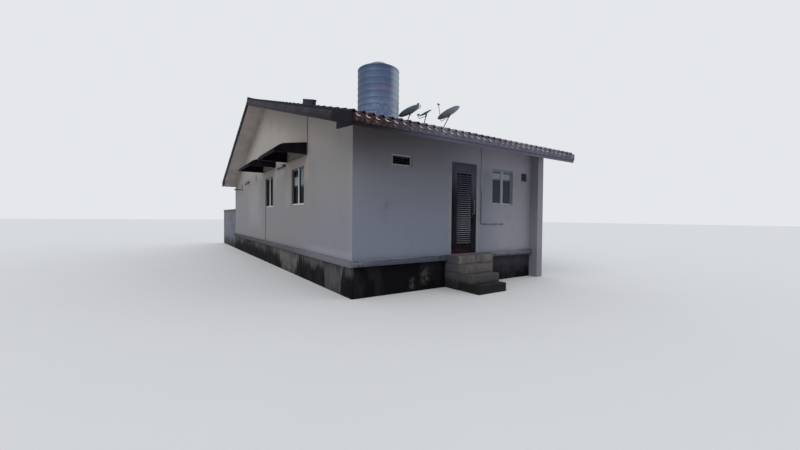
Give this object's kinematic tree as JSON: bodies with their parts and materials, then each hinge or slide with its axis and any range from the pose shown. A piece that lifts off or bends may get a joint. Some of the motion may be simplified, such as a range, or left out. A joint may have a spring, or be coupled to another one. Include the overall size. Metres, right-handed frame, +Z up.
{
  "type": "terraced house",
  "caption": "End unit of a low terrace: tiled gable roof over rendered walls on a high plinth, with a barred rear door, steps, curved window hoods, a roof tank and dishes.",
  "frame": {"origin": "on the ground, at the middle of the plinth's underside between its rear and front ends", "axes": "+X from the gable wall towards the party wall, +Y from the rear wall to the front yard, +Z up"},
  "size_m": [6.574, 18.049, 5.6698],
  "materials": {
    "plinth_render": "rough cement render",
    "slab_concrete": "rough concrete",
    "wall_render": "painted render, matt",
    "step_concrete": "rough concrete",
    "roof_tile": "painted concrete tile, worn",
    "roof_timber": "sawn, matt",
    "soffit_sheet": "painted board, matt",
    "board_paint": "weathered paint",
    "tank_steel": "bright rolled sheet",
    "hood_plastic": "moulded, satin",
    "hood_frame_paint": "painted, matt",
    "window_paint": "white, satin",
    "window_glass": "dark glass",
    "vent_glass": "dark frosted glass",
    "vent_block_cast": "cast cement, dark",
    "door_paint": "dark brown, satin",
    "grille_paint": "light grey, satin",
    "handle_steel": "satin",
    "front_door_wood": "varnished",
    "pipe_plastic": "grey conduit",
    "lamp_plastic": "grey housing",
    "bracket_steel": "galvanised, dull",
    "dish_dark": "matt, weathered",
    "dish_light": "matt, weathered"
  },
  "bodies": {
    "house": {"plinth": "plinth_render", "floor_slab": "slab_concrete", "rear_wall_left": "wall_render", "rear_wall_right": "wall_render", "rear_wall_over_door": "wall_render", "front_wall": "wall_render", "gable_wall": "wall_render", "party_wall": "wall_render", "yard_side_wall": "wall_render", "rear_step_1": "step_concrete", "rear_step_2": "step_concrete", "rear_step_3": "step_concrete", "rear_step_4": "step_concrete", "roof_slope_rear": "roof_tile", "roof_slope_front": "roof_tile", "ridge_cap": "roof_tile", "verge_block": "roof_tile", "ridge_board": "roof_timber", "rafters": "roof_timber", "tank_platform": "roof_timber", "verge_soffit": "soffit_sheet", "eave_soffits": "soffit_sheet", "fascia_boards": "board_paint", "barge_board_rear": "board_paint", "barge_board_front": "board_paint", "tank_shell": "tank_steel", "tank_top": "tank_steel", "tank_lid": "tank_steel", "tank_inlet": "tank_steel", "window_hoods": "hood_plastic", "hood_frames": "hood_frame_paint", "gable_window_frames": "window_paint", "rear_window_frame": "window_paint", "front_window_frame": "window_paint", "vent_window_frame": "window_paint", "window_panes": "window_glass", "vent_blades": "vent_glass", "vent_block": "vent_block_cast", "rear_door_frame": "door_paint", "front_door_frame": "front_door_wood", "front_door_leaf": "front_door_wood", "rear_wall_pipe": "pipe_plastic", "gable_conduits": "pipe_plastic", "batten_lamps": "lamp_plastic", "wall_bracket": "bracket_steel", "dish_1": "dish_dark", "dish_2": "dish_dark", "dish_3": "dish_light", "dish_mounts": "bracket_steel"},
    "grille_door": {"grille_leaf": "door_paint", "grille_bars": "grille_paint", "grille_handle": "handle_steel"}
  },
  "joints": [
    {"name": "grille_door_hinge", "type": "hinge", "parent": "house", "child": "grille_door", "pos_m": [-0.2435, -6.485, 0.75], "axis": [0, 0, -1], "range_deg": [0, 105]}
  ]
}
